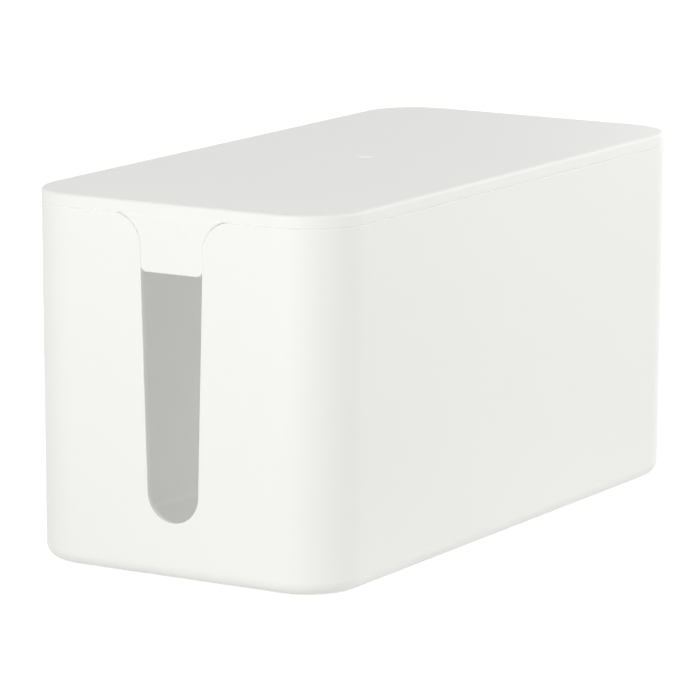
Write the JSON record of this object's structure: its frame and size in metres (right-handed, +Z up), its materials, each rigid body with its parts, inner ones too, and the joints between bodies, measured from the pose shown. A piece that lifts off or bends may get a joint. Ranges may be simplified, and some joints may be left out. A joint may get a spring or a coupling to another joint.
{
  "type": "cable management box",
  "caption": "White rectangular box with rounded upright corners, a tall cable slot in each short end and a flush lift-off lid whose end tabs close the tops of the slots. Hides a power strip.",
  "frame": {"origin": "on the surface that the box stands on, under the middle of its bounding box", "axes": "+X along the length from the left end to the right end, +Y across the width towards the rear, +Z up"},
  "size_m": [0.235, 0.115, 0.12],
  "materials": {
    "body_plastic": "satin white moulded plastic",
    "lid_plastic": "satin white moulded plastic",
    "foot_rubber": "matt grey rubber"
  },
  "bodies": {
    "box": {"box_body": "body_plastic", "foot_front_left": "foot_rubber", "foot_front_right": "foot_rubber", "foot_rear_left": "foot_rubber", "foot_rear_right": "foot_rubber"},
    "lid": {"lid": "lid_plastic"}
  },
  "joints": [
    {"name": "lid_lift", "type": "slide", "parent": "box", "child": "lid", "axis": [0, 0, 1], "range_m": [0, 0.06]}
  ]
}
